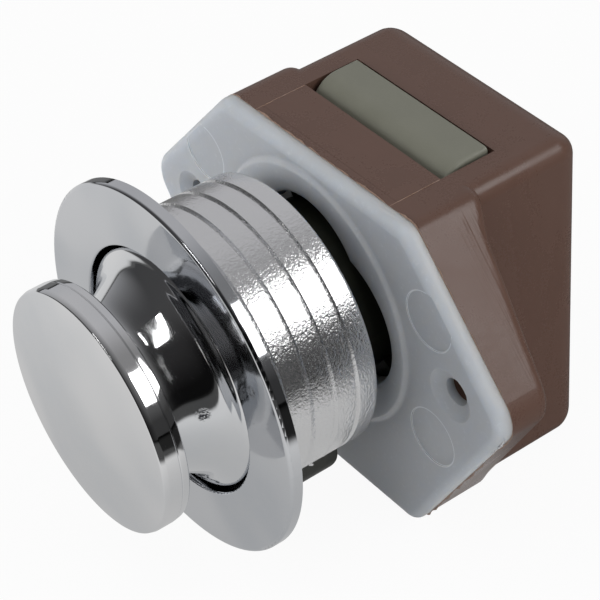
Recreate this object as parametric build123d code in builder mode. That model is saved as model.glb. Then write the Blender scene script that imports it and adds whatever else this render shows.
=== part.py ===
"""Push button cabinet lock, a knob-operated bolt lock for a cabinet or caravan door.

The origin is where the barrel's axis meets the door face of the base plate.
The knob points along -Y, the bolt slides out along +Z, and +X is to the right.
The lock is drawn with its knob out and its bolt drawn in. All sizes are in millimetres.
"""

import os
from math import atan2, cos, degrees, radians, sin

from build123d import *

os.makedirs("parts", exist_ok=True)

# Driving dimensions of the whole lock
barrel_radius = 12.75  # passes a 26 mm hole in the door
door_grip = 14.62  # from the base plate to the back of the rosette
knob_travel = 8.0
bolt_travel = 7.0
body_width = 24.8
body_top = 13.7  # above the barrel's axis
body_bottom = 19.1  # below the barrel's axis
body_depth = 19.8  # from the door face to the back
wing_width = 49.6  # across the sharp side corners of the base plate
screw_spacing = 36.0
wall = 1.5
overrun = 1.0  # how far a cut runs past the face that it opens

# Clearances
running_gap = 0.05  # a shaft in its bore, on the radius
sliding_gap = 0.15  # a part that slides beside another
seat_gap = 0.02  # still parts that are pushed together
ramp_gap = 0.03  # between the cam's ramp and the bolt's

# Base plate and the outline that it shares with the housing
plate_thickness = 1.5
plate_edge_radius = 0.9
end_corner_radius = 1.8
side_corner_radius = 3.0
ring_radius = 12.2
ring_height = 0.35
ring_slope = 0.6  # width of the ring's soft outer side
opening_edge_radius = 0.45
lobe_rise = 3.4
tall_lobe_radius = 6.5
lobe_reach = 3.6
wide_lobe_radius = 7.0
screw_hole_radius = 1.3
screw_sink_radius = 2.5
screw_sink_angle = 120.0
ejector_radius = 2.8
ejector_depth = 0.1
ejector_x = 15.5
ejector_z = 6.4

# Rosette
rosette_lip = 4.42  # beyond the barrel
rosette_thickness = 1.16
rosette_edge_radius = 0.35
rosette_mouth_radius = 0.15
collar_length = 1.8
collar_wall = 0.6

# Barrel
barrel_end = 3.28  # from the base plate to the barrel's rear end
barrel_wall = 1.23
groove_pitch = 2.35
groove_count = 4
first_groove = 5.45  # from the base plate
groove_width = 0.5
groove_depth = 0.25
barrel_edge_radius = 0.35
barrel_cut_rise = 2.55  # from the barrel's lowest line up to where its underside is cut away

# Knob
knob_gap = 0.3  # between the knob and the barrel's bore
knob_proud = 8.11  # the knob's rim ahead of the rosette's face
knob_rim = 2.0
knob_rim_taper = 0.2
knob_dome = 0.35
waist_step = 3.77  # how much smaller the knob's waist is than its rim
waist_depth = 0.7  # behind the knob's rim
knob_base_step = 0.05  # how much smaller the knob's base is than its rim
shoulder_reach = 0.6  # ahead of the rosette's face
knob_base_end = 13.2  # from the base plate
knob_bore_radius = 6.0
knob_bore_end = 16.5  # from the base plate
knob_edge_radius = 0.25

# Guide sleeve
hub_radius = 8.2
hub_wall = 0.9
disc_thickness = 1.6
sleeve_end = 3.2  # behind the door face
floor_thickness = 2.0
lug_radius = 10.2
lug_thickness = 1.5
lug_angle = 24.0
key_reach = 2.95  # beyond the barrel
key_width = 12.4
key_edge_radius = 1.4

# Spindle, its screw, clip and washer
spindle_radius = 2.9
spindle_bore_radius = 1.6
spindle_end = 6.0  # behind the door face
washer_radius = 3.7
washer_thickness = 0.5
clip_radius = 3.6
clip_thickness = 0.6
clip_groove_depth = 0.4
clip_opening = 3.2
screw_radius = 1.45
screw_head_radius = 2.6
screw_head_height = 1.7
screw_seat = 7.6  # behind the door face
screw_reach = 21.0  # ahead of the door face
screw_socket_width = 2.2
screw_socket_depth = 1.0

# Drive cam
cam_front = 3.4
cam_back = 10.1
cam_block_half = 4.3
cam_half = 7.1
cam_block_rise = 3.6
cam_cheek_top = 5.0
cam_block_front = 4.6
tongue_half = 2.2
tongue_bottom = 5.6
tongue_top = 6.8
tongue_front = 6.0  # ahead of the door face
ramp_height = -2.5  # where the ramp crosses the middle of the resting contact
ramp_depth = 8.55

# Latch bolt
bolt_half = 8.8
bolt_front = 7.0
bolt_back = 12.2
bolt_proud = 0.4
bolt_nose_radius = 3.0
bolt_edge_radius = 0.4
bolt_bottom = 13.4
window_half = 7.3
window_top = 9.6
window_bottom = 10.9
ramp_shoulder = 4.6
pocket_radius = 2.1
pocket_depth = 1.8
pocket_x = 5.0

# Housing
wing_root_depth = 8.6
wing_depth = 7.2
wing_tip_depth = 5.4
wing_root_radius = 2.6
wing_edge_radius = 1.1
body_edge_radius = 1.7
body_back_radius = 2.4
pocket_wall = 1.6
wing_pocket_depth = 3.0
boss_radius = 2.9
slot_half = 9.1
slot_front = 6.9
slot_back = 12.7
rail_thickness = 1.2
rail_reach = 1.5
rail_bottom = 13.8
spring_pin_radius = 1.0
spring_pin_height = 2.6
wire_boss_half = 2.6
wire_boss_bottom = 8.6
wire_boss_height = 2.2
wire_boss_reach = 3.0

# Bolt keeper, the insert that closes the slot in front of the bolt
keeper_front = 2.3
keeper_foot_half = 9.3
keeper_foot_height = 0.85
keeper_foot_length = 3.6

# Springs and the follower wire
knob_spring_radius = 4.8
knob_spring_wire = 0.4
knob_spring_turns = 8
bolt_spring_radius = 1.55
bolt_spring_wire = 0.25
bolt_spring_turns = 6
wire_radius = 0.4
wire_pivot_inset = 1.7  # from the cavity's back
wire_tip_depth = 4.65
wire_swing = 1.1
wire_height = 7.55
wire_rise = 2.6
wire_bend_radius = 0.8
track_depth = 0.8
track_gap = 0.15
track_return = 1.0

# Places worked out from the sizes above
body_half = body_width / 2
rosette_back = -door_grip
rosette_face = -door_grip - rosette_thickness
knob_face = rosette_face - knob_proud
knob_rim_back = knob_face + knob_rim
bore_radius = barrel_radius - barrel_wall
rosette_radius = barrel_radius + rosette_lip
barrel_cut_height = barrel_radius - barrel_cut_rise
key_radius = barrel_radius + key_reach
knob_radius = bore_radius - knob_gap
knob_base_radius = knob_radius - knob_base_step
waist_radius = knob_radius - waist_step
hub_bore_radius = hub_radius - hub_wall
floor_front = sleeve_end - floor_thickness
sleeve_bore_radius = spindle_radius + running_gap
disc_front = -barrel_end - disc_thickness
cavity_half = body_half - wall
cavity_top = body_top - wall
cavity_bottom = -body_bottom + wall
cavity_back = body_depth - wall
wire_pivot_depth = cavity_back - wire_pivot_inset
bolt_middle = (bolt_front + bolt_back) / 2
ramp_slope = bolt_travel / knob_travel
hexagon_points = [
    (-body_half, body_top),
    (body_half, body_top),
    (wing_width / 2, 0),
    (body_half, -body_bottom),
    (-body_half, -body_bottom),
    (-wing_width / 2, 0),
]


def at_depth(depth):
    """Sketch plane at a depth behind the door face, seen from the door side."""
    return Plane.XZ.offset(-depth)


def hexagon(depth, inset=0):
    """The outline that the base plate and the housing's front share."""
    with BuildSketch(at_depth(depth)) as outline:
        with BuildLine():
            Polyline(*hexagon_points, close=True)
        make_face()
        fillet(outline.vertices().filter_by(lambda corner: abs(corner.Y) < wall), side_corner_radius)
        rows = outline.vertices().group_by(Axis.Y)
        fillet(rows[0] + rows[-1], end_corner_radius)
        if inset:
            offset(amount=-inset, mode=Mode.REPLACE)
    return outline.sketch


def lobed_hole(depth):
    """The four-lobed opening through which the sleeve is pushed and turned."""
    with BuildSketch(at_depth(depth)) as opening:
        with Locations((0, lobe_rise), (0, -lobe_rise)):
            Circle(tall_lobe_radius)
        with Locations((-lobe_reach, 0), (lobe_reach, 0)):
            Circle(wide_lobe_radius)
    return opening.sketch


def ramp_at(depth):
    """Height of the sloping contact between cam and bolt at a depth."""
    return ramp_height - ramp_slope * (depth - ramp_depth)


def coil(radius, wire, length, turns, foot, axis):
    """One open coil spring: its wire swept along a helix from foot along axis."""
    path = Helix(pitch=length / turns, height=length, radius=radius, center=foot, direction=axis)
    with BuildPart() as spring:
        with BuildSketch(Plane(path @ 0, z_dir=path % 0)):
            Circle(wire)
        sweep(path=path, is_frenet=True)
    return spring.part


# Base plate
with BuildPart() as base_plate:
    extrude(hexagon(plate_thickness), amount=plate_thickness)
    rim = base_plate.faces().sort_by(Axis.Y)[0].outer_wire().edges()
    fillet(rim, plate_edge_radius)
    # Soft raised ring round the opening
    with BuildSketch(Plane.XY):
        with BuildLine():
            foot = (ring_radius + ring_slope, 0)
            crest = (ring_radius, -ring_height)
            middle = (0, plate_thickness / 2)
            Polyline(crest, (0, -ring_height), middle, (ring_radius + ring_slope, plate_thickness / 2), foot)
            Spline(foot, crest, tangents=[(-1, 0), (-1, 0)])
        make_face()
    revolve(axis=Axis.Y)
    extrude(lobed_hole(plate_thickness + overrun), amount=plate_thickness + 2 * overrun, mode=Mode.SUBTRACT)
    crest_face = base_plate.faces().filter_by(Axis.Y).sort_by(Axis.Y)[0]
    fillet(crest_face.inner_wires()[0].edges(), opening_edge_radius)
    with Locations(at_depth(0)):
        with GridLocations(screw_spacing, screw_spacing, 2, 1):
            CounterSinkHole(
                screw_hole_radius,
                screw_sink_radius,
                depth=plate_thickness + overrun,
                counter_sink_angle=screw_sink_angle,
            )
    with BuildSketch(at_depth(0)):
        with GridLocations(2 * ejector_x, 2 * ejector_z, 2, 2):
            Circle(ejector_radius)
    extrude(amount=-ejector_depth, mode=Mode.SUBTRACT)

# Housing
with BuildPart() as wing_block:
    extrude(hexagon(body_depth), amount=body_depth - plate_thickness)
    with BuildSketch(Plane.XY.offset(body_top + overrun)):
        with BuildLine():
            root = (body_half - wall, wing_root_depth)
            Polyline((0, plate_thickness), (0, wing_root_depth), root)
            knee = (body_half + wing_root_radius, wing_depth)
            wing_slope = (wing_tip_depth - wing_depth) / (wing_width / 2 - knee[0])
            Spline(root, knee, tangents=[(1, 0), (1, wing_slope)])
            Polyline(knee, (wing_width / 2, wing_tip_depth), (wing_width / 2, plate_thickness), (0, plate_thickness))
        make_face()
        mirror(about=Plane.YZ)
    extrude(amount=-(body_top + body_bottom + 2 * overrun), mode=Mode.INTERSECT)
    back_edges = wing_block.edges().filter_by(
        lambda edge: abs(edge.center().X) > body_half and edge.bounding_box().min.Y > plate_thickness
    )
    fillet(back_edges.filter_by(Axis.Z, reverse=True), wing_edge_radius)
with BuildPart() as housing:
    with BuildSketch(at_depth(body_depth)):
        with Locations((0, (body_top - body_bottom) / 2)):
            RectangleRounded(body_width, body_top + body_bottom, body_edge_radius)
    extrude(amount=body_depth - plate_thickness)
    fillet(housing.faces().sort_by(Axis.Y)[-1].edges(), body_back_radius)
    add(wing_block.part)
    # Cavity for the mechanism
    with BuildSketch(at_depth(cavity_back)):
        with Locations((0, (cavity_top + cavity_bottom) / 2)):
            RectangleRounded(2 * cavity_half, cavity_top - cavity_bottom, body_edge_radius - wall / 2)
    extrude(amount=cavity_back - plate_thickness + overrun, mode=Mode.SUBTRACT)
    # Weight-saving pockets in the wings, round the screw bosses
    with BuildSketch(at_depth(plate_thickness)):
        add(hexagon(plate_thickness, pocket_wall))
        with Locations((0, (body_top - body_bottom) / 2)):
            Rectangle(body_width, body_top + body_bottom, mode=Mode.SUBTRACT)
        with GridLocations(screw_spacing, screw_spacing, 2, 1):
            Circle(boss_radius, mode=Mode.SUBTRACT)
    extrude(amount=-wing_pocket_depth, mode=Mode.SUBTRACT)
    with Locations(at_depth(plate_thickness)):
        with GridLocations(screw_spacing, screw_spacing, 2, 1):
            Hole(screw_hole_radius, depth=body_depth)
    # Slot in the top for the bolt and its keeper
    slot_middle = (keeper_front + slot_back) / 2
    with BuildSketch(Plane.XY.offset(body_top + overrun)):
        with Locations((0, slot_middle)):
            Rectangle(2 * slot_half, slot_back - keeper_front)
    extrude(amount=-(wall + 2 * overrun), mode=Mode.SUBTRACT)
    # Rails that guide the bolt
    rail_inner = bolt_half + sliding_gap
    rail_front = bolt_front - sliding_gap - rail_thickness
    rail_back = bolt_back + sliding_gap + rail_thickness
    with BuildSketch(Plane.XY.offset(-rail_bottom)):
        with Locations((rail_inner, rail_front), (-cavity_half - seat_gap, rail_front)):
            Rectangle(
                cavity_half - rail_inner + seat_gap,
                rail_back - rail_front,
                align=(Align.MIN, Align.MIN),
            )
        for edge in (rail_front, bolt_back + sliding_gap):
            for left in (rail_inner - rail_reach, -rail_inner):
                with Locations((left, edge)):
                    Rectangle(rail_reach, rail_thickness, align=(Align.MIN, Align.MIN))
    extrude(amount=rail_bottom + cavity_top)
    # Pins that hold the bolt springs, and the boss that holds the follower wire
    with BuildSketch(Plane.XY.offset(cavity_bottom)):
        with Locations((-pocket_x, bolt_middle), (pocket_x, bolt_middle)):
            Circle(spring_pin_radius)
    extrude(amount=spring_pin_height)
    with BuildSketch(Plane.XY.offset(wire_boss_bottom)):
        with Locations((0, cavity_back - wire_boss_reach)):
            Rectangle(2 * wire_boss_half, wire_boss_reach, align=(Align.CENTER, Align.MIN))
    extrude(amount=wire_boss_height)
    with BuildSketch(Plane.XY.offset(wire_boss_bottom)):
        with Locations((0, wire_pivot_depth)):
            Circle(wire_radius + running_gap)
    extrude(amount=wire_boss_height, mode=Mode.SUBTRACT)

# Bolt keeper
with BuildPart() as bolt_keeper:
    with BuildSketch(Plane.XY.offset(body_top)):
        with Locations((0, keeper_front + seat_gap)):
            Rectangle(
                2 * (slot_half - seat_gap),
                slot_front - keeper_front - seat_gap,
                align=(Align.CENTER, Align.MIN),
            )
    extrude(amount=-wall)
    with BuildSketch(Plane.XY.offset(cavity_top)):
        with Locations((0, plate_thickness + seat_gap)):
            Rectangle(2 * keeper_foot_half, keeper_foot_length, align=(Align.CENTER, Align.MIN))
    extrude(amount=-keeper_foot_height)

# Rosette
with BuildPart() as rosette:
    with BuildSketch(Plane.XY):
        with BuildLine():
            Polyline(
                (bore_radius, rosette_face),
                (rosette_radius, rosette_face),
                (rosette_radius, rosette_back),
                (bore_radius + collar_wall, rosette_back),
                (bore_radius + collar_wall, rosette_back + collar_length),
                (bore_radius, rosette_back + collar_length),
                close=True,
            )
        make_face()
    revolve(axis=Axis.Y)
    rims = rosette.edges().filter_by(GeomType.CIRCLE).group_by(Axis.Y)[0]
    fillet(rims.sort_by(SortBy.RADIUS)[-1], rosette_edge_radius)
    rims = rosette.edges().filter_by(GeomType.CIRCLE).group_by(Axis.Y)[0]
    fillet(rims.sort_by(SortBy.RADIUS)[0], rosette_mouth_radius)

# Barrel
with BuildPart() as barrel:
    with BuildSketch(Plane.XY):
        with BuildLine():
            step = rosette_back + collar_length + seat_gap
            inner = bore_radius + collar_wall + seat_gap
            Polyline(
                (inner, rosette_back),
                (barrel_radius, rosette_back),
                (barrel_radius, -barrel_end),
                (bore_radius, -barrel_end),
                (bore_radius, step),
                (inner, step),
                close=True,
            )
        make_face()
        for index in range(groove_count):
            middle = -first_groove - index * groove_pitch
            with BuildLine():
                Polyline(
                    (barrel_radius, middle - groove_width / 2),
                    (barrel_radius - groove_depth, middle - groove_width / 4),
                    (barrel_radius - groove_depth, middle),
                    (barrel_radius, middle + groove_width / 2),
                    close=True,
                )
            make_face(mode=Mode.SUBTRACT)
    revolve(axis=Axis.Y)
    rims = barrel.edges().filter_by(GeomType.CIRCLE).group_by(Axis.Y)[-1]
    fillet(rims.sort_by(SortBy.RADIUS)[-1], barrel_edge_radius)
    with BuildSketch(at_depth(0)):
        with Locations((0, -barrel_cut_height)):
            Rectangle(2 * barrel_radius, barrel_radius, align=(Align.CENTER, Align.MAX))
    extrude(amount=door_grip + overrun, mode=Mode.SUBTRACT)

# Guide sleeve
with BuildPart() as guide_sleeve:
    with BuildSketch(Plane.XY):
        with BuildLine():
            Polyline(
                (sleeve_bore_radius, floor_front),
                (hub_bore_radius, floor_front),
                (hub_bore_radius, disc_front),
                (bore_radius - running_gap, disc_front),
                (bore_radius - running_gap, -barrel_end),
                (hub_radius, -barrel_end),
                (hub_radius, sleeve_end),
                (sleeve_bore_radius, sleeve_end),
                close=True,
            )
        make_face()
    revolve(axis=Axis.Y)
    # Lugs that lock behind the plate, between the lobes of its opening
    lug_middle = degrees(atan2(lobe_rise + tall_lobe_radius, lobe_reach + wide_lobe_radius))
    with BuildSketch(at_depth(plate_thickness + sliding_gap + lug_thickness)) as lugs:
        Circle(lug_radius)
        Circle(hub_radius - hub_wall / 2, mode=Mode.SUBTRACT)
        with BuildSketch(mode=Mode.PRIVATE) as sectors:
            for middle in (lug_middle, 180 - lug_middle, 180 + lug_middle, -lug_middle):
                with BuildLine():
                    low = radians(middle - lug_angle / 2)
                    high = radians(middle + lug_angle / 2)
                    far = 2 * lug_radius
                    Polyline(
                        (0, 0),
                        (far * cos(low), far * sin(low)),
                        (far * cos(high), far * sin(high)),
                        close=True,
                    )
                make_face()
        add(sectors.sketch, mode=Mode.INTERSECT)
    extrude(amount=lug_thickness)
    # Key under the barrel, which stops the lock from turning in the door
    with BuildSketch(at_depth(-barrel_end)):
        Circle(key_radius)
        Rectangle(key_width, 2 * key_radius, mode=Mode.INTERSECT)
        Circle(barrel_radius - groove_depth)
        with Locations((0, -barrel_cut_height - seat_gap)):
            Rectangle(2 * key_radius, key_radius, align=(Align.CENTER, Align.MAX), mode=Mode.INTERSECT)
        Circle(knob_radius + sliding_gap, mode=Mode.SUBTRACT)
    extrude(amount=door_grip - barrel_end - sliding_gap)
    low_edges = guide_sleeve.edges().filter_by(lambda edge: edge.center().Z < -barrel_radius)
    fillet(low_edges.filter_by(lambda edge: edge.center().Y > disc_front - disc_thickness * 3), key_edge_radius)
    with BuildSketch(at_depth(rosette_back + collar_length + sliding_gap)):
        Circle(bore_radius + collar_wall + sliding_gap)
    extrude(amount=collar_length + 2 * overrun, mode=Mode.SUBTRACT)
    # Opening in the floor for the cam's tongue
    with BuildSketch(at_depth(sleeve_end + overrun)):
        with Locations((0, tongue_bottom - sliding_gap)):
            Rectangle(
                2 * (tongue_half + sliding_gap),
                tongue_top - tongue_bottom + 2 * sliding_gap,
                align=(Align.CENTER, Align.MIN),
            )
    extrude(amount=floor_thickness + 2 * overrun, mode=Mode.SUBTRACT)

# Knob
with BuildPart() as knob:
    with BuildSketch(Plane.XY):
        with BuildLine():
            rim_radius = knob_radius - knob_rim_taper
            rim_middle = knob_face + knob_rim / 2
            waist = (waist_radius, knob_rim_back + waist_depth)
            shoulder = (knob_base_radius, rosette_face - shoulder_reach)
            ThreePointArc(
                (0, knob_face - knob_dome),
                (rim_radius / 2, knob_face - knob_dome * 3 / 4),
                (rim_radius, knob_face),
            )
            Polyline(
                (rim_radius, knob_face),
                (knob_radius, rim_middle),
                (rim_radius, knob_rim_back),
                (waist_radius + waist_depth, knob_rim_back + knob_edge_radius),
            )
            ThreePointArc(
                (waist_radius + waist_depth, knob_rim_back + knob_edge_radius),
                (waist_radius + waist_depth / 4, knob_rim_back + waist_depth / 2),
                waist,
            )
            Spline(waist, shoulder, tangents=[(0, 1), (0, 1)])
            Polyline(
                shoulder,
                (knob_base_radius, -knob_base_end),
                (knob_bore_radius, -knob_base_end),
                (knob_bore_radius, -knob_bore_end),
                (screw_radius, -knob_bore_end),
                (screw_radius, -screw_reach),
                (0, -screw_reach),
                (0, knob_face - knob_dome),
            )
        make_face()
    revolve(axis=Axis.Y)

# Spindle
with BuildPart() as spindle:
    clip_front = sleeve_end + seat_gap + washer_thickness + seat_gap
    clip_back = clip_front + clip_thickness
    with BuildSketch(Plane.XY):
        with BuildLine():
            Polyline(
                (spindle_bore_radius, -knob_bore_end),
                (spindle_radius, -knob_bore_end),
                (spindle_radius, clip_front),
                (spindle_radius - clip_groove_depth, clip_front),
                (spindle_radius - clip_groove_depth, clip_back),
                (spindle_radius, clip_back),
                (spindle_radius, spindle_end),
                (spindle_bore_radius, spindle_end),
                close=True,
            )
        make_face()
    revolve(axis=Axis.Y)

# Stop washer behind the sleeve's floor
with BuildPart() as stop_washer:
    with BuildSketch(at_depth(clip_front - seat_gap)):
        Circle(washer_radius)
        Circle(spindle_radius, mode=Mode.SUBTRACT)
    extrude(amount=washer_thickness)

# Open clip in the spindle's groove
with BuildPart() as spindle_clip:
    with BuildSketch(at_depth(clip_back)):
        Circle(clip_radius)
        Circle(spindle_radius - clip_groove_depth, mode=Mode.SUBTRACT)
        Rectangle(clip_opening, 2 * clip_radius, align=(Align.CENTER, Align.MAX), mode=Mode.SUBTRACT)
    extrude(amount=clip_thickness)

# Screw that clamps knob, spindle and cam together
with BuildPart() as knob_screw:
    with BuildSketch(at_depth(screw_seat)):
        Circle(screw_radius)
    extrude(amount=screw_seat + screw_reach)
    with BuildSketch(at_depth(screw_seat + screw_head_height)):
        Circle(screw_head_radius)
    extrude(amount=screw_head_height)
    with BuildSketch(at_depth(screw_seat + screw_head_height)):
        RegularPolygon(screw_socket_width / 2, 6)
    extrude(amount=screw_socket_depth, mode=Mode.SUBTRACT)

# Drive cam
with BuildPart() as drive_cam:
    with BuildSketch(Plane.YZ.offset(-cam_half)):
        with BuildLine():
            Polyline(
                (cam_front, ramp_at(cam_front)),
                (cam_back, ramp_at(cam_back)),
                (cam_back, cam_cheek_top),
                (cam_front, cam_cheek_top),
                close=True,
            )
        make_face()
    extrude(amount=2 * cam_half)
    with BuildSketch(at_depth(cam_block_front)):
        with Locations((0, cam_cheek_top + overrun)):
            Rectangle(2 * cam_block_half, 2 * cam_half, align=(Align.CENTER, Align.MAX))
    extrude(amount=cam_block_front, mode=Mode.SUBTRACT)
    with BuildSketch(at_depth(cam_back)):
        Rectangle(2 * cam_block_half, 2 * cam_block_rise)
        with Locations((0, cam_block_rise)):
            Rectangle(2 * tongue_half, tongue_top - cam_block_rise, align=(Align.CENTER, Align.MIN))
    extrude(amount=cam_back - cam_block_front)
    with BuildSketch(at_depth(cam_back)):
        with Locations((0, tongue_bottom)):
            Rectangle(2 * tongue_half, tongue_top - tongue_bottom, align=(Align.CENTER, Align.MIN))
    extrude(amount=cam_back + tongue_front)
    with BuildSketch(at_depth(spindle_end)):
        Circle(spindle_radius)
    extrude(amount=spindle_end, mode=Mode.SUBTRACT)
    with BuildSketch(at_depth(cam_back)):
        Circle(spindle_bore_radius)
    extrude(amount=cam_back - spindle_end + overrun, mode=Mode.SUBTRACT)
    with BuildSketch(at_depth(cam_back + overrun)):
        Circle(screw_head_radius + sliding_gap)
    extrude(amount=cam_back + overrun - screw_seat, mode=Mode.SUBTRACT)
    # Track for the follower wire: a slanted way in, a notch, and a way back round an island
    track_in = (-wire_swing, wire_tip_depth)
    track_notch = (wire_swing, wire_tip_depth - knob_travel)
    track_turn = (0, track_notch[1] - track_return)
    track_side = (-wire_swing, track_notch[1] + track_return)
    with BuildSketch(Plane.XY.offset(tongue_top)):
        with BuildLine():
            Polyline(track_in, track_notch, track_turn, track_side, close=True)
        trace(line_width=2 * (wire_radius + track_gap))
    extrude(amount=-track_depth, mode=Mode.SUBTRACT)

# Latch bolt
with BuildPart() as latch_bolt:
    bolt_top = body_top + bolt_proud
    with BuildSketch(at_depth(bolt_back)):
        with Locations((0, -bolt_bottom)):
            Rectangle(2 * bolt_half, bolt_top + bolt_bottom, align=(Align.CENTER, Align.MIN))
    extrude(amount=bolt_back - bolt_front)
    top_edges = latch_bolt.edges().group_by(Axis.Z)[-1]
    fillet(top_edges.filter_by(Axis.X).sort_by(Axis.Y)[0], bolt_nose_radius)
    end_edges = latch_bolt.edges().filter_by(lambda edge: abs(edge.center().X) > bolt_half - sliding_gap)
    fillet(end_edges.filter_by(lambda edge: edge.center().Z > body_top - bolt_nose_radius / 2), bolt_edge_radius)
    with BuildSketch(at_depth(bolt_back + overrun)):
        with Locations((0, -window_bottom)):
            Rectangle(2 * window_half, window_top + window_bottom, align=(Align.CENTER, Align.MIN))
    extrude(amount=bolt_back - bolt_front + 2 * overrun, mode=Mode.SUBTRACT)
    for side in (-1, 1):
        with BuildSketch(Plane.YZ.offset(side * ramp_shoulder)):
            with BuildLine():
                Polyline(
                    (bolt_front, -window_bottom),
                    (bolt_back, -window_bottom),
                    (bolt_back, ramp_at(bolt_back) - ramp_gap),
                    (bolt_front, ramp_at(bolt_front) - ramp_gap),
                    close=True,
                )
            make_face()
        extrude(amount=side * (window_half - ramp_shoulder))
    with BuildSketch(Plane.XY.offset(-bolt_bottom)):
        with Locations((-pocket_x, bolt_middle), (pocket_x, bolt_middle)):
            Circle(pocket_radius)
    extrude(amount=pocket_depth, mode=Mode.SUBTRACT)

# Springs
with BuildPart() as knob_spring:
    spring_foot = -knob_bore_end + knob_spring_wire
    spring_length = floor_front - knob_spring_wire - spring_foot
    add(coil(knob_spring_radius, knob_spring_wire, spring_length, knob_spring_turns, (0, spring_foot, 0), (0, 1, 0)))
bolt_spring_foot = cavity_bottom + bolt_spring_wire
bolt_spring_length = -bolt_bottom + pocket_depth - bolt_spring_wire - bolt_spring_foot
with BuildPart() as bolt_spring_left:
    foot = (-pocket_x, bolt_middle, bolt_spring_foot)
    add(coil(bolt_spring_radius, bolt_spring_wire, bolt_spring_length, bolt_spring_turns, foot, (0, 0, 1)))
with BuildPart() as bolt_spring_right:
    foot = (pocket_x, bolt_middle, bolt_spring_foot)
    add(coil(bolt_spring_radius, bolt_spring_wire, bolt_spring_length, bolt_spring_turns, foot, (0, 0, 1)))

# Follower wire, which swings about its upright leg as its tip runs in the cam's track
with BuildPart() as follower_wire:
    with BuildLine() as wire_path:
        FilletPolyline(
            (0, wire_pivot_depth, wire_height + wire_rise),
            (0, wire_pivot_depth, wire_height),
            (-wire_swing, wire_tip_depth, wire_height),
            (-wire_swing, wire_tip_depth, tongue_top - track_depth + sliding_gap),
            radius=wire_bend_radius,
        )
    with BuildSketch(Plane(wire_path.line @ 0, z_dir=wire_path.line % 0)):
        Circle(wire_radius)
    sweep(path=wire_path.line)

pieces = {
    "base_plate": base_plate,
    "housing": housing,
    "bolt_keeper": bolt_keeper,
    "rosette": rosette,
    "barrel": barrel,
    "guide_sleeve": guide_sleeve,
    "knob": knob,
    "spindle": spindle,
    "stop_washer": stop_washer,
    "spindle_clip": spindle_clip,
    "knob_screw": knob_screw,
    "drive_cam": drive_cam,
    "latch_bolt": latch_bolt,
    "knob_spring": knob_spring,
    "bolt_spring_left": bolt_spring_left,
    "bolt_spring_right": bolt_spring_right,
    "follower_wire": follower_wire,
}
for name, piece in pieces.items():
    piece.part.label = name
    export_step(piece.part, f"parts/{name}.step")
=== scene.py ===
"""Looks of the push button cabinet lock: finishes, mould flash, floor, light and camera."""

import math
import random

import bmesh
import bpy
from mathutils import Matrix, Vector, noise


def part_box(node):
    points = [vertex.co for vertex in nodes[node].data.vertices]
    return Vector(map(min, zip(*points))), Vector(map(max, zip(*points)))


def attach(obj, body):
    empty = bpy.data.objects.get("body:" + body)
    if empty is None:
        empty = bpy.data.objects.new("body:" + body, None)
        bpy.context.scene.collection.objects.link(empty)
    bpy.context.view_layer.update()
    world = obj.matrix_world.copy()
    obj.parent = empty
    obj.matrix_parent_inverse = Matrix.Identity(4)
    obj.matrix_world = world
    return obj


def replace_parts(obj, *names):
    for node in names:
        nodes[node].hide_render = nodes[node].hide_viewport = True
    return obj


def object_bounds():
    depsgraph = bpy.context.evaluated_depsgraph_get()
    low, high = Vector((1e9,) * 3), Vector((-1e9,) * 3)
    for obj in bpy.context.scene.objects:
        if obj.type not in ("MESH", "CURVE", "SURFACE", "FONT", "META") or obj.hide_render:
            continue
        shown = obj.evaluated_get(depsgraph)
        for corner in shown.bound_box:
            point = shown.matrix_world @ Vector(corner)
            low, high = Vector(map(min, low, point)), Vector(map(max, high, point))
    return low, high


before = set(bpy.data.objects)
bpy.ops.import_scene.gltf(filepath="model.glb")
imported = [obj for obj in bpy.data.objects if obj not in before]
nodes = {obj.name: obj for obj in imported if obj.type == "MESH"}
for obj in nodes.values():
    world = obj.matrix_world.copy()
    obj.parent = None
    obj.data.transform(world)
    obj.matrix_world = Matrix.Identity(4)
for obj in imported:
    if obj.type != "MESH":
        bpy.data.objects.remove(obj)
cad_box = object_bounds()

MM = 0.001
case_body, knob_body = "case", "knob_set"

# Camera, fitted to the photo
image_width = 600
focal_pixels = 2400
camera_azimuth = 55.45
camera_elevation = 39.89
camera_roll = -4.53
camera_distance = 211.0 * MM
camera_target = Vector((-2.48, 0, -2.65)) * MM
camera_clip = (1 * MM, 10)

# Lamps, each with its place, width, height, power and whether chrome shows it
lamps = {
    "key": ((0.29, 0.21, 0.30), 0.24, 0.22, 0.62, True),
    "front_strip_low": ((-0.02, -0.29, 0.36), 0.20, 0.022, 0.09, True),
    "front_strip_high": ((-0.04, -0.24, 0.42), 0.14, 0.018, 0.05, True),
    "side_fill": ((0.45, 0.10, 0.10), 0.30, 0.30, 0.9, False),
    "front_fill": ((-0.26, -0.40, 0.14), 0.30, 0.30, 1.3, False),
    "right_fill": ((0.16, -0.42, 0.22), 0.30, 0.30, 0.38, False),
    "top_fill": ((0.03, -0.10, 0.48), 0.30, 0.30, 0.5, False),
}

# Spans below are the low and high end of what comes in, then of what comes out where it isn't 0 to 1

# Room that lights the object and shows in its chrome, as (height, grey) from floor to ceiling
room_greys = [(0.0, 0.03), (0.60, 0.04), (0.70, 0.10), (0.82, 0.20), (1.0, 0.26)]
room_blue_share = 1.02
room_front_span = (-0.55, 0.3, 0.12, 1.0)
window_grey = 0.48
window_blue_share = 1.03
window_span = (-0.35, 0.32)

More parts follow.
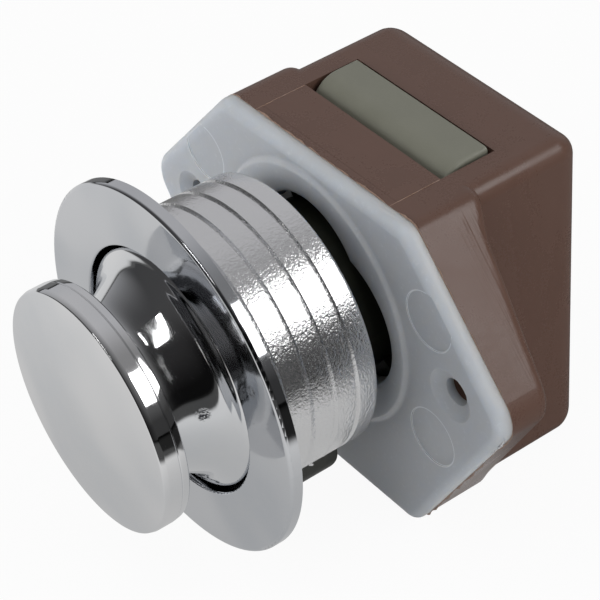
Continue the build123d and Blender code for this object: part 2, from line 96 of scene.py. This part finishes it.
# Floor, and the glowing sheet of paper that chrome shows in its place, with painted shade and shadow
floor_reach = 1.5
floor_sides = 96
floor_drop = 0.05 * MM
floor_grey = 0.74
floor_cloud = 0.02
floor_noise = (30 * MM, 3, 0.5)
floor_roughness = 0.7
background_share = 0.94
paper_grey = 0.70
paper_dark = 0.1
paper_reach = 0.2
paper_end = 0.6
paper_side = 0.055
paper_soft = 0.02
shadow_front = 0.0075
shadow_soft = 0.006
shadow_share = 0.25
shade_start = 0.0175
shade_end = 0.07
shade_share = 0.74

# Noises below are a grain's width, the levels of detail and how rough these are

# Mirror chrome
haze_noise = (4 * MM, 4, 0.6)
cloud_noise = (11 * MM, 1, 0.4)
cloud_span = (0.35, 0.65)
cloud_lift = 0.07
cool_shares = (0.88, 0.91, 0.94)
wipe_noise = (0.5 * MM, 3, 0.7)
wipe_stretch = (1, 6, 1)
wipe_haze_share = 0.5
wipe_wave_share = 0.004
wave_noise = (6 * MM, 1, 0.3)
mirror_roughness_span = (0.5, 1.1, 0.035, 0.11)
knob_tint = (0.78, 0.78, 0.785)
knob_wave = 0.02 * MM
rosette_tint = (0.64, 0.65, 0.67)
rosette_wave = 0.03 * MM

# Pits in the chrome, at places in the part's own frame
knob_pits = [Vector((8.4, -17.8, 2.0)) * MM]
rosette_pits = [Vector((12.7, -15.8, 6.2)) * MM]
pit_radius = 0.68 * MM
pit_edge_share = 1.6
pit_grain = pit_radius / 3
pit_edge_noise = (pit_grain, 3, 0.7)
pit_noise = (pit_grain, 3, 0.5)
pit_span = (0.4, 0.6)
pit_depth_share = 0.8
pit_colour = (0.05, 0.05, 0.06)

# Chrome on the barrel's cast skin
cast_metallic = 0.96
cast_noise = (0.21 * MM, 2, 0.5)
cast_colours = ((0.77, 0.77, 0.775), (0.85, 0.85, 0.855))
cast_roughness_span = (0.3, 0.7, 0.18, 0.26)
cast_depth = 0.038 * MM
dimple_size = 0.5 * MM
dimple_smoothness = 0.6
dimple_stretch = (1, 1.2, 1)
dimple_share = 0.4
run_noise = (2.2 * MM, 2, 0.5)
run_share = 0.5

# Milky plastic of the plate
milky_weight = 0.75
milky_scale = 2.2 * MM
milky_radius = (1.0, 1.2, 1.5)
milky_noise = (7 * MM, 3, 0.5)
milky_colours = ((0.43, 0.45, 0.48), (0.52, 0.545, 0.58))
milky_roughness_span = (0.3, 0.7, 0.34, 0.5)
milky_depth = 0.010 * MM
speck_noise = (0.5 * MM, 3, 0.6)
speck_span = (0.55, 0.8, 0, 0.5)
speck_colour = (0.60, 0.625, 0.66)
skin_noise = (1.8 * MM, 2, 0.5)
skin_share = 1.5
# Painted shade on the plate's rounded edges and sides, by how far they face away from the front
edge_shade_colour = (0.46, 0.48, 0.505)
side_span = (-0.75, -0.1)
flat_span = (-0.999, -0.99, 1.0, 0.0)

# Painted highlights: pale rings round the ejector marks, where their edges catch the light
ring_place = Vector((15.5, 0, 6.4)) * MM
ring_radius = 2.8 * MM
ring_width = 0.13 * MM
ring_highlight_colour = (0.80, 0.84, 0.88)

# Brown plastic of the housing, and its paler flash
brown_colours = ((0.097, 0.054, 0.040), (0.118, 0.067, 0.051))
flash_colours = ((0.24, 0.155, 0.115), (0.36, 0.25, 0.19))
brown_specular = 0.36
brown_roughness_span = (0.4, 1.0, 0.22, 0.36)
brown_depth = 0.014 * MM
flow_noise = (5 * MM, 4, 0.55)
flow_stretch = (1, 1, 0.3)
flow_swirl = 0.8
peel_noise = (0.75 * MM, 2, 0.5)
fine_noise = (0.16 * MM, 2, 0.5)
fine_flow_share = 0.4
fine_peel_share = 0.25
sink_noise = (8 * MM, 1, 0.5)
sink_share = 5.0

# Tool marks on the wings, along the step to the housing's body
mark_side_span = (12.6 * MM, 13.6 * MM)
mark_depth_span = (3.4 * MM, 6.6 * MM)
mark_noise = (0.35 * MM, 2, 0.5)
mark_stretch = (0.03, 1, 0.03)
mark_share = 8.0

# Satin plastics, each with its two colours and its nodes
satin_noise = (3 * MM, 4, 0.55)
satin_fine_noise = (0.22 * MM, 3, 0.6)
satin_fine_share = 0.5
satin_roughness_span = (0.45, 1.05, 0.32, 0.5)
satin_depth = 0.008 * MM
satin_plastics = {
    "olive_grey_plastic": ((0.150, 0.150, 0.118), (0.190, 0.190, 0.152), ("latch_bolt", "drive_cam")),
    # Painted shade: the guide sleeve is the olive plastic darkened almost to black, as the shade inside the
    # opening.
    "shade_darkened_olive_plastic": ((0.011, 0.012, 0.008), (0.020, 0.021, 0.015), ("guide_sleeve",)),
    "spindle_plastic": ((0.135, 0.135, 0.110), (0.165, 0.165, 0.135), ("spindle",)),
    "black_rubber": ((0.018, 0.018, 0.018), (0.032, 0.032, 0.032), ("stop_washer",)),
}

# Plated and drawn steel
steel_noise = (0.12 * MM, 3, 0.7)
steel_stretch = (1, 8, 1)
steel_lift_share = 1.25
steel_roughness_span = (0.3, 0.7, 0.22, 0.38)
steel_depth = 0.004 * MM
zinc_tint = (0.52, 0.53, 0.55)
wire_tint = (0.42, 0.42, 0.43)
wire_nodes = ("knob_spring", "bolt_spring_left", "bolt_spring_right", "spindle_clip", "follower_wire")

# Turned knob, as the photo shows its edges and its neck
turn_steps = 256
dome_shares = (0.2, 0.4, 0.6, 0.8)
dome_sag_share = 0.4
rim_back = 2.9 * MM  # from the front
rim_thickness = 2.0 * MM
rim_line = 0.8 * MM  # from the rim's back to its fine line
line_depth = 0.05 * MM
line_shares = [(0, -2), (0, -1), (-1, 0), (0, 1), (0, 2)]
edge_soft = 0.16 * MM
edge_steps = 10
front_edge_inset_share = 1.6
front_edge_angles = (-90, -20)
front_edge_shares = [(-0.4, 1.6), (0, 3), (0, 3.5)]
rear_edge_inset_share = 1.5
rear_edge_angles = (10, 90)
neck_waist = 3.8 * MM  # in from the rim
neck_steps = 6
neck_points = [  # mm, out from the waist and back from the rim
    (0.9, 0.05),
    (0.3, 0.25),
    (0, 0.9),
    (0.15, 1.8),
    (0.87, 3.1),
    (1.972, 4.75),
    (2.9, 5.5),
    (3.55, 5.9),
    (3.75, 6.3),
]
sleeve_inset = 0.05 * MM

# Mould flash along the joint of plate and housing
flash_seed = 7
flash_step = 0.12 * MM
flash_reach = 0.2 * MM
flash_thickness = 0.06 * MM
flash_grain = 1.4 * MM
flash_fractal = (1.0, 2.0, 4)
flash_middle_share = 0.5
flash_least_share = 0.15
flash_lean_share = 0.3
seam_rise = Vector((0, 0, 0.4))  # how far a seam's fin stands up, next to the joint's
outline_margin = 1 * MM

# Crumbs on the plate's corner and along the barrel's cut edge
crumb_rounds = 2
crumb_least_share = 0.75
crumb_ragged_share = 0.6
burr_count = 16
burr_steps = 36  # from the corner down, a flash step each
burr_size = 0.22 * MM
burr_size_shares = (0.35, 1.0)
burr_front_shares = (2.5, 4.5)
cut_burr_count = 34
cut_burr_size = 0.36 * MM
cut_burr_size_shares = (0.4, 1.0)
cut_burr_length_shares = (0.1, 0.8)
cut_burr_out_shares = (-0.5, 0.5)
cut_burr_down_shares = (0.0, 0.9)


class Nodes:
    """A node tree with a few short ways to add what the finishes and the room share."""

    def __init__(self, tree):
        self.tree = tree

    def add(self, kind, **settings):
        node = self.tree.nodes.new(kind)
        for key, value in settings.items():
            setattr(node, key, value)
        return node

    def link(self, source, target):
        self.tree.links.new(source, target)

    def span(self, value, low, high, start=0.0, end=1.0):
        """Maps low..high of a value smoothly to start..end."""
        node = self.add("ShaderNodeMapRange", interpolation_type="SMOOTHSTEP")
        for key, number in (("From Min", low), ("From Max", high), ("To Min", start), ("To Max", end)):
            node.inputs[key].default_value = number
        self.link(value, node.inputs["Value"])
        return node.outputs["Result"]

    def blend(self, share, first, second):
        """Mixes two colours, each a colour or an output of a node."""
        node = self.add("ShaderNodeMix", data_type="RGBA")
        self.link(share, node.inputs["Factor"])
        for socket, colour in ((node.inputs[6], first), (node.inputs[7], second)):
            if isinstance(colour, tuple):
                socket.default_value = (*colour, 1)
            else:
                self.link(colour, socket)
        return node.outputs[2]

    def layer(self, share, below, above):
        """Mixes two shaders."""
        node = self.add("ShaderNodeMixShader")
        for output, socket in zip((share, below, above), node.inputs):
            self.link(output, socket)
        return node.outputs["Shader"]

    def sum(self, first, second, weight=1.0):
        """first + weight * second."""
        node = self.add("ShaderNodeMath", operation="MULTIPLY_ADD")
        self.link(second, node.inputs[0])
        node.inputs[1].default_value = weight
        self.link(first, node.inputs[2])
        return node.outputs["Value"]

    def product(self, first, second):
        node = self.add("ShaderNodeMath", operation="MULTIPLY")
        self.link(first, node.inputs[0])
        self.link(second, node.inputs[1])
        return node.outputs["Value"]

    def magnitude(self, value):
        """A value without its sign."""
        node = self.add("ShaderNodeMath", operation="ABSOLUTE")
        self.link(value, node.inputs[0])
        return node.outputs["Value"]

    def distance(self, place, centre):
        node = self.add("ShaderNodeVectorMath", operation="DISTANCE")
        node.inputs[1].default_value = centre
        self.link(place, node.inputs[0])
        return node.outputs["Value"]

    def axis_part(self, name, source):
        """One component of the surface's normal, its place or the way that is looked."""
        parts = self.add("ShaderNodeSeparateXYZ")
        self.link(self.add("ShaderNodeTexCoord").outputs[source], parts.inputs["Vector"])
        return parts.outputs[name]


class Finish(Nodes):
    """A node material over its own shader."""

    def __init__(self, name):
        self.material = bpy.data.materials.new(name)
        self.material.use_nodes = True
        super().__init__(self.material.node_tree)
        self.principled = self.tree.nodes["Principled BSDF"]
        self.place = self.add("ShaderNodeTexCoord").outputs["Object"]

    def set(self, **values):
        """Fixed values on the shader's own sockets."""
        for key, value in values.items():
            self.principled.inputs[key.replace("_", " ")].default_value = value

    def stretched(self, scale):
        """Coordinates stretched by a share along each axis."""
        mapping = self.add("ShaderNodeMapping")
        mapping.inputs["Scale"].default_value = scale
        self.link(self.place, mapping.inputs["Vector"])
        return mapping.outputs["Vector"]

    def noise(self, grain, detail, rough, place=None, distortion=0.0):
        """Noise whose grains are about as wide as grain, in metres."""
        texture = self.add("ShaderNodeTexNoise")
        texture.inputs["Scale"].default_value = 1 / grain
        texture.inputs["Detail"].default_value = detail
        texture.inputs["Roughness"].default_value = rough
        texture.inputs["Distortion"].default_value = distortion
        self.link(place or self.place, texture.inputs["Vector"])
        return texture.outputs["Fac"]

    def cells(self, grain, smoothness, place):
        """Smooth rounded cells about as wide as grain, in metres."""
        texture = self.add("ShaderNodeTexVoronoi", feature="SMOOTH_F1")
        texture.inputs["Scale"].default_value = 1 / grain
        texture.inputs["Smoothness"].default_value = smoothness
        self.link(place, texture.inputs["Vector"])
        return texture.outputs["Distance"]

    def pits(self, centres):
        """1 in ragged pits round the centres, and 0 elsewhere."""
        ragged = self.noise(*pit_edge_noise)
        total = None
        for centre in centres:
            away = self.sum(self.distance(self.place, centre), ragged, pit_radius)
            near = self.span(away, pit_radius, pit_radius * pit_edge_share, 1.0, 0.0)
            total = near if total is None else self.sum(total, near)
        return self.product(total, self.span(self.noise(*pit_noise), *pit_span))

    def colour(self, output):
        self.link(output, self.principled.inputs["Base Color"])

    def roughness(self, output):
        self.link(output, self.principled.inputs["Roughness"])

    def bump(self, height, depth):
        """Bump whose height 1 stands depth, in metres, above height 0."""
        node = self.add("ShaderNodeBump")
        node.inputs["Distance"].default_value = depth
        self.link(height, node.inputs["Height"])
        self.link(node.outputs["Normal"], self.principled.inputs["Normal"])


def mirror_chrome(name, tint, wave_depth, pit_centres):
    """Polished chrome with a slight wave, faint wiping marks and casting pits."""
    finish = Finish(name)
    finish.set(Metallic=1.0)
    haze = finish.noise(*haze_noise)
    clouds = finish.span(finish.noise(*cloud_noise), *cloud_span)
    wiped = finish.noise(*wipe_noise, finish.stretched(wipe_stretch))
    pitted = finish.pits(pit_centres)
    cool = finish.blend(haze, tuple(value * share for value, share in zip(tint, cool_shares)), tint)
    bright = finish.blend(clouds, cool, tuple(value + cloud_lift for value in tint))
    finish.colour(finish.blend(pitted, bright, pit_colour))
    finish.roughness(finish.span(finish.sum(haze, wiped, wipe_haze_share), *mirror_roughness_span))
    waves = finish.sum(finish.noise(*wave_noise), wiped, wipe_wave_share)
    finish.bump(finish.sum(waves, pitted, -pit_depth_share), wave_depth)
    return finish.material


def cast_chrome():
    """Chrome over a rough cast skin, with fine grains, dimples and runs."""
    finish = Finish("cast_chrome")
    finish.set(Metallic=cast_metallic)
    dimples = finish.cells(dimple_size, dimple_smoothness, finish.stretched(dimple_stretch))
    grains = finish.noise(*cast_noise)
    finish.colour(finish.blend(grains, *cast_colours))
    finish.roughness(finish.span(grains, *cast_roughness_span))
    height = finish.sum(grains, dimples, dimple_share)
    finish.bump(finish.sum(height, finish.noise(*run_noise), run_share), cast_depth)
    return finish.material


def ejector_ring_highlights(finish):
    """1 on the flat face's rings round the ejector marks, where a painted highlight goes, and 0 elsewhere.
    """
    corner = finish.add("ShaderNodeCombineXYZ")
    for axis in "XZ":
        finish.link(finish.magnitude(finish.axis_part(axis, "Object")), corner.inputs[axis])
    away = finish.distance(corner.outputs["Vector"], ring_place)
    inside = finish.span(away, ring_radius, ring_radius + ring_width, 1.0, 0.0)
    outside = finish.span(away, ring_radius - ring_width, ring_radius)
    flat = finish.span(finish.axis_part("Y", "Normal"), *flat_span)
    return finish.product(finish.product(inside, outside), flat)


def milky_plastic():
    """Translucent bluish plastic with pale specks, painted highlight rings round the ejector marks, and
    painted shade on its rounded edges.
    """
    finish = Finish("milky_plastic")
    finish.set(Subsurface_Weight=milky_weight, Subsurface_Scale=milky_scale, Subsurface_Radius=milky_radius)
    clouds = finish.noise(*milky_noise)
    specks = finish.noise(*speck_noise)
    face = finish.blend(clouds, *milky_colours)
    speckled = finish.blend(finish.span(specks, *speck_span), face, speck_colour)
    # Painted highlight: pale lines on the ejector marks' edges.
    ring_highlighted = finish.blend(ejector_ring_highlights(finish), speckled, ring_highlight_colour)
    # Painted shade: the rounded edges and sides get one flat, slightly darker colour, which tones down how
    # bright they look where they catch the light.
    side = finish.span(finish.axis_part("Y", "Normal"), *side_span)
    finish.colour(finish.blend(side, ring_highlighted, edge_shade_colour))
    finish.roughness(finish.span(clouds, *milky_roughness_span))
    finish.bump(finish.sum(specks, finish.noise(*skin_noise), skin_share), milky_depth)
    return finish.material


def tool_marks(finish):
    """Fine lines on the wings, along the step to the housing's body."""
    wing = finish.span(finish.magnitude(finish.axis_part("X", "Object")), *mark_side_span)
    near_step = finish.span(finish.axis_part("Y", "Object"), *mark_depth_span)
    marks = finish.noise(*mark_noise, finish.stretched(mark_stretch))
    return finish.product(finish.product(wing, near_step), marks)


def brown_plastic(name, colours):
    """Glossy moulded plastic with an orange-peel skin, flow marks and tool marks."""
    finish = Finish(name)
    finish.set(Specular_IOR_Level=brown_specular)
    flow = finish.noise(*flow_noise, finish.stretched(flow_stretch), flow_swirl)
    fine = finish.noise(*fine_noise)
    finish.colour(finish.blend(flow, *colours))
    finish.roughness(finish.span(finish.sum(flow, fine, fine_flow_share), *brown_roughness_span))
    peel = finish.sum(finish.noise(*peel_noise), fine, fine_peel_share)
    height = finish.sum(peel, finish.noise(*sink_noise), sink_share)
    finish.bump(finish.sum(height, tool_marks(finish), mark_share), brown_depth)
    return finish.material


def satin_plastic(name, dark, light):
    """Plain satin moulded plastic in two close shades."""
    finish = Finish(name)
    clouds = finish.noise(*satin_noise)
    fine = finish.noise(*satin_fine_noise)
    finish.colour(finish.blend(clouds, dark, light))
    finish.roughness(finish.span(finish.sum(clouds, fine, satin_fine_share), *satin_roughness_span))
    finish.bump(fine, satin_depth)
    return finish.material


def bare_steel(name, tint):
    """Plated or drawn steel with fine lines."""
    finish = Finish(name)
    finish.set(Metallic=1.0)
    lines = finish.noise(*steel_noise, finish.stretched(steel_stretch))
    finish.colour(finish.blend(lines, tint, tuple(value * steel_lift_share for value in tint)))
    finish.roughness(finish.span(lines, *steel_roughness_span))
    finish.bump(lines, steel_depth)
    return finish.material


def dress(material, *names):
    """Gives CAD nodes a material."""
    for name in names:
        slots = nodes[name].data.materials
        slots.clear()
        slots.append(material)


def mesh_piece(name, builder, material, body):
    """A new piece from a bmesh, riding on a body."""
    mesh = bpy.data.meshes.new(name)
    builder.to_mesh(mesh)
    builder.free()
    piece = bpy.data.objects.new(name, mesh)
    bpy.context.scene.collection.objects.link(piece)
    mesh.materials.append(material)
    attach(piece, body)
    return piece


def arc_points(centre, radius, angles):
    """Points (distance from the axis, depth) along an arc between two angles in degrees."""
    start, end = (math.radians(angle) for angle in angles)
    turns = [start + (end - start) * step / edge_steps for step in range(edge_steps + 1)]
    return [(centre[0] + radius * math.cos(turn), centre[1] + radius * math.sin(turn)) for turn in turns]


def spline_points(places):
    """A smooth curve through places, as points."""
    ends = [places[0]] + places + [places[-1]]
    points = []
    for a, b, c, d in zip(ends, ends[1:], ends[2:], ends[3:]):
        for step in range(neck_steps):
            t = step / neck_steps
            points.append(tuple(
                q + t / 2 * (r - p + t * (2 * p - 5 * q + 4 * r - s + t * (3 * q - p - 3 * r + s)))
                for p, q, r, s in zip(a, b, c, d)
            ))
    return points + [places[-1]]


def offset_points(centre, step, shares):
    """Points at shares of a step out and back from a centre."""
    return [(centre[0] + out * step, centre[1] + back * step) for out, back in shares]


def knob_profile(rim, front, back):
    """The turned knob's outline, as (distance from the axis, depth), from its face to its rear end."""
    rear = front + rim_back
    dome = rim_back - rim_thickness
    edge = front + dome * dome_sag_share
    profile = [(rim * share, front + (edge - front) * share**2) for share in dome_shares]
    centre = (rim - front_edge_inset_share * edge_soft, edge + edge_soft)
    profile += arc_points(centre, edge_soft, front_edge_angles)
    profile += offset_points((rim, edge), edge_soft, front_edge_shares)
    profile += offset_points((rim, rear - rim_line), line_depth, line_shares)
    centre = (rim - rear_edge_inset_share * edge_soft, rear - edge_soft)
    profile += arc_points(centre, edge_soft, rear_edge_angles)
    profile += spline_points(offset_points((rim - neck_waist, rear), MM, neck_points))
    return profile + [(rim - sleeve_inset, back)]


def turned_knob(material):
    """The knob as one turned shape, with soft edges and a fine line in its rim."""
    low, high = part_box("knob")
    turns = [2 * math.pi * step / turn_steps for step in range(turn_steps)]
    builder = bmesh.new()
    rings = [
        [builder.verts.new((radius * math.cos(turn), depth, radius * math.sin(turn))) for turn in turns]
        for radius, depth in knob_profile(high.x, low.y, high.y)
    ]
    for first, second in zip(rings, rings[1:]):
        for a, b, c, d in zip(first, first[1:] + first[:1], second[1:] + second[:1], second):
            builder.faces.new((a, b, c, d))
    for ring, depth in ((rings[0], low.y), (rings[-1], high.y)):
        tip = builder.verts.new((0, depth, 0))
        for a, b in zip(ring, ring[1:] + ring[:1]):
            builder.faces.new((tip, a, b))
    bmesh.ops.recalc_face_normals(builder, faces=builder.faces)
    for face in builder.faces:
        face.smooth = True
    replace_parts(mesh_piece("turned_knob", builder, material, knob_body), "knob")


def turn_of(start, middle, end):
    """More than 0 where the way through three (x, z) points turns left."""
    return (middle[0] - start[0]) * (end[1] - middle[1]) - (middle[1] - start[1]) * (end[0] - middle[0])


def plate_outline():
    """The joint's outline, as (x, z) points in order round the plate, and its depth."""
    low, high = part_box("base_plate")
    verts = [vert.co for vert in nodes["base_plate"].data.vertices if vert.co.y > high.y - flash_thickness]
    rim = {(round(co.x, 6), round(co.z, 6)) for co in verts}
    side = max(x for x, z in rim) / 2
    top, bottom = high.z - outline_margin, low.z + outline_margin
    outer = [(x, z) for x, z in rim if abs(x) > side or z > top or z < bottom]
    middle = Vector(((low.x + high.x) / 2, (low.z + high.z) / 2))
    ordered = sorted(outer, key=lambda point: math.atan2(point[1] - middle.y, point[0] - middle.x))
    hull = []
    for point in ordered + ordered[:2]:
        while len(hull) > 1 and turn_of(*hull[-2:], point) <= 0:
            hull.pop()
        hull.append(point)
    return [Vector(point) for point in hull[1:-1]], high.y


def steps_between(start, end):
    """Points from start to just before end, about a flash step apart."""
    count = max(1, round((end - start).length / flash_step))
    return [start.lerp(end, index / count) for index in range(count)]


def ragged_fin(name, path, across, closed, material):
    """A thin ragged fin along a path of (point, way out), as thick as it is wide across."""
    low, high = cad_box
    builder = bmesh.new()
    rows = []
    for point, outward in path:
        ragged = noise.fractal(point / flash_grain, *flash_fractal)
        tip = point + outward * flash_reach * max(flash_least_share, flash_middle_share + ragged)
        tip.x = min(max(tip.x, low.x), high.x)
        tip.z = max(tip.z, low.z)
        inner = point - outward * flash_thickness
        lean = across * flash_thickness * (flash_lean_share + ragged)
        rows.append([
            builder.verts.new(place)
            for place in (inner - across * flash_thickness / 2, tip + lean, inner + across * flash_thickness)
        ])
    for first, second in zip(rows, rows[1:] + rows[:1] if closed else rows[1:]):
        for side in range(3):
            after = (side + 1) % 3
            builder.faces.new((first[side], first[after], second[after], second[side]))
    if not closed:
        builder.faces.new(rows[0])
        builder.faces.new(rows[-1])
    bmesh.ops.recalc_face_normals(builder, faces=builder.faces)
    mesh_piece(name, builder, material, case_body)


def mould_flash(outline, depth, material):
    """Flash that was pressed out all round the joint of plate and housing."""
    path = []
    for start, end in zip(outline, outline[1:] + outline[:1]):
        run = (end - start).normalized()
        ends = (Vector((point.x, depth, point.y)) for point in (start, end))
        path += [(point, Vector((run.y, 0, -run.x))) for point in steps_between(*ends)]
    ragged_fin("mould_flash", path, Vector((0, 1, 0)), True, material)


def keeper_seams(depth, material):
    """Flash along both ends of the keeper, on top of the housing."""
    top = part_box("bolt_keeper")[1].z
    rim = [vert.co for vert in nodes["bolt_keeper"].data.vertices if vert.co.z > top - flash_thickness]
    half, back = max(co.x for co in rim), max(co.y for co in rim)
    for name, x in (("keeper_seam_left", -half), ("keeper_seam_right", half)):
        points = steps_between(Vector((x, depth, top)), Vector((x, back, top)))
        ragged_fin(name, [(point, seam_rise) for point in points], Vector((1, 0, 0)), False, material)


def crumbs(name, places, material):
    """Tiny ragged crumbs, each (place, size)."""
    builder = bmesh.new()
    for place, size in places:
        matrix = Matrix.Translation(place)
        made = bmesh.ops.create_icosphere(builder, subdivisions=crumb_rounds, radius=size, matrix=matrix)
        for vert in made["verts"]:
            ragged = crumb_least_share + crumb_ragged_share * noise.noise(vert.co / size)
            vert.co = place + (vert.co - place) * ragged
    mesh_piece(name, builder, material, case_body)


def plate_burrs(outline, depth, material):
    """White crumbs left on the plate's right side corner by trimming."""
    draw = random.Random(flash_seed)
    corner = max(outline, key=lambda point: point.x)
    run = outline[outline.index(corner)::-1]
    edge = [point for start, end in zip(run, run[1:]) for point in steps_between(start, end)][:burr_steps]
    places = []
    for _ in range(burr_count):
        size = burr_size * draw.uniform(*burr_size_shares)
        point = draw.choice(edge)
        front = depth - burr_size * draw.uniform(*burr_front_shares)
        places.append((Vector((min(point.x, corner.x - size), front, point.y)), size))
    crumbs("plate_burrs", places, material)


def cut_burrs(material):
    """Sparkling crumbs along the edge where the barrel's underside is cut away."""
    draw = random.Random(flash_seed)
    low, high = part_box("barrel")
    edge = math.sqrt(high.x**2 - low.z**2)
    places = []
    for _ in range(cut_burr_count):
        size = cut_burr_size * draw.uniform(*cut_burr_size_shares)
        depth = low.y + (high.y - low.y) * draw.uniform(*cut_burr_length_shares)
        out, down = draw.uniform(*cut_burr_out_shares), draw.uniform(*cut_burr_down_shares)
        places.append((Vector((edge + out * size, depth, low.z - down * size)), size))
    crumbs("cut_burrs", places, material)


def studio_world():
    """White behind the object. Everything else sees a room, dark at the front and on the right."""
    world = bpy.data.worlds.new("studio")
    bpy.context.scene.world = world
    world.use_nodes = True
    room = Nodes(world.node_tree)
    room.tree.nodes.clear()
    height = room.add("ShaderNodeMapRange")
    height.inputs["From Min"].default_value = -1
    room.link(room.axis_part("Z", "Generated"), height.inputs["Value"])
    ramp = room.add("ShaderNodeValToRGB")
    room.link(height.outputs["Result"], ramp.inputs["Fac"])
    stops = ramp.color_ramp.elements
    for position, _ in room_greys[len(stops):]:
        stops.new(position)
    for stop, (position, grey) in zip(stops, room_greys):
        stop.position = position
        stop.color = (grey, grey, grey * room_blue_share, 1)
    window = (window_grey, window_grey, window_grey * window_blue_share)
    right = room.span(room.axis_part("X", "Generated"), *window_span)
    seen = room.add("ShaderNodeBackground")
    room.link(room.blend(right, window, ramp.outputs["Color"]), seen.inputs["Color"])
    room.link(room.span(room.axis_part("Y", "Generated"), *room_front_span), seen.inputs["Strength"])
    white = room.add("ShaderNodeBackground")
    white.inputs["Color"].default_value = (1, 1, 1, 1)
    path = room.add("ShaderNodeLightPath")
    backgrounds = (node.outputs["Background"] for node in (seen, white))
    surface = room.layer(path.outputs["Is Camera Ray"], *backgrounds)
    room.link(surface, room.add("ShaderNodeOutputWorld").inputs["Surface"])


def paper_brightness(finish):
    """How bright chrome sees the paper, whose light and shade are painted: darker far away and at the right,
    with painted shade near the object and a painted shadow behind it.
    """
    away = finish.distance(finish.place, (0, 0, 0))
    across, along = finish.axis_part("X", "Object"), finish.axis_part("Y", "Object")
    far = finish.span(away, paper_reach, paper_end, paper_grey, paper_dark)
    side = finish.span(across, paper_side, paper_side + paper_soft, 1.0, paper_dark)
    shade = finish.span(away, shade_start, shade_end, shade_share, 1.0)
    behind = finish.span(along, shadow_front, shadow_front + shadow_soft, 1.0, shadow_share)
    return finish.product(finish.product(far, side), finish.product(shade, behind))


def floor():
    """A pale floor under the part, which keeps its shadow. Chrome sees glowing paper in its place, a painted
    reflection with painted shade and shadow.
    """
    builder = bmesh.new()
    bmesh.ops.create_circle(builder, cap_ends=True, segments=floor_sides, radius=floor_reach)
    mesh = bpy.data.meshes.new("floor")
    builder.to_mesh(mesh)
    builder.free()
    ground = bpy.data.objects.new("floor", mesh)
    ground.location = (0, 0, cad_box[0].z - floor_drop)
    bpy.context.scene.collection.objects.link(ground)
    finish = Finish("pale_floor")
    finish.set(Roughness=floor_roughness)
    pale = (floor_grey + floor_cloud,) * 3
    finish.colour(finish.blend(finish.noise(*floor_noise), (floor_grey,) * 3, pale))
    path = finish.add("ShaderNodeLightPath")
    paper, glow = finish.add("ShaderNodeEmission"), finish.add("ShaderNodeEmission")
    finish.link(paper_brightness(finish), paper.inputs["Strength"])
    seen = finish.add("ShaderNodeMath", operation="MULTIPLY")
    seen.inputs[1].default_value = background_share
    finish.link(path.outputs["Is Camera Ray"], seen.inputs[0])
    surface = finish.principled.outputs["BSDF"]
    surface = finish.layer(path.outputs["Is Glossy Ray"], surface, paper.outputs["Emission"])
    surface = finish.layer(seen.outputs["Value"], surface, glow.outputs["Emission"])
    finish.link(surface, finish.tree.nodes["Material Output"].inputs["Surface"])
    mesh.materials.append(finish.material)


def softbox(name, place, width, height, power, reflected):
    """A rectangular lamp that faces the object. Chrome shows it only where it is reflected."""
    lamp = bpy.data.lights.new(name, "AREA")
    lamp.shape = "RECTANGLE"
    lamp.size, lamp.size_y, lamp.energy = width, height, power
    lamp_object = bpy.data.objects.new(name, lamp)
    lamp_object.location = place
    lamp_object.visible_glossy = reflected
    lamp_object.rotation_euler = (-Vector(place)).to_track_quat("-Z", "Y").to_euler()
    bpy.context.scene.collection.objects.link(lamp_object)


def photo_camera():
    """The camera at the photo's angle."""
    azimuth, elevation, roll = (math.radians(a) for a in (camera_azimuth, camera_elevation, camera_roll))
    back = Vector((
        math.sin(azimuth) * math.cos(elevation),
        -math.cos(azimuth) * math.cos(elevation),
        math.sin(elevation),
    ))
    level = Vector((math.cos(azimuth), math.sin(azimuth), 0))
    upright = back.cross(level)
    right = level * math.cos(roll) + upright * math.sin(roll)
    up = back.cross(right)
    camera = bpy.data.cameras.new("camera")
    camera.lens = focal_pixels * camera.sensor_width / image_width
    camera.clip_start, camera.clip_end = camera_clip
    camera_object = bpy.data.objects.new("camera", camera)
    turn = Matrix((right, up, back)).transposed().to_4x4()
    camera_object.matrix_world = Matrix.Translation(camera_target + back * camera_distance) @ turn
    bpy.context.scene.collection.objects.link(camera_object)
    bpy.context.scene.camera = camera_object


brown = brown_plastic("brown_plastic", brown_colours)
flash_plastic = brown_plastic("flash_plastic", flash_colours)
milky = milky_plastic()
barrel_chrome = cast_chrome()
turned_knob(mirror_chrome("knob_chrome", knob_tint, knob_wave, knob_pits))
dress(mirror_chrome("rosette_chrome", rosette_tint, rosette_wave, rosette_pits), "rosette")
dress(barrel_chrome, "barrel")
dress(milky, "base_plate")
dress(brown, "housing", "bolt_keeper")
for satin_name, (dark, light, satin_nodes) in satin_plastics.items():
    dress(satin_plastic(satin_name, dark, light), *satin_nodes)
dress(bare_steel("zinc_steel", zinc_tint), "knob_screw")
dress(bare_steel("spring_wire", wire_tint), *wire_nodes)

joint_outline, joint_depth = plate_outline()
mould_flash(joint_outline, joint_depth, flash_plastic)
keeper_seams(joint_depth, flash_plastic)
plate_burrs(joint_outline, joint_depth, milky)
cut_burrs(barrel_chrome)

studio_world()
floor()
for lamp_name, lamp_values in lamps.items():
    softbox(lamp_name, *lamp_values)
photo_camera()
bpy.context.scene.view_settings.view_transform = "Standard"
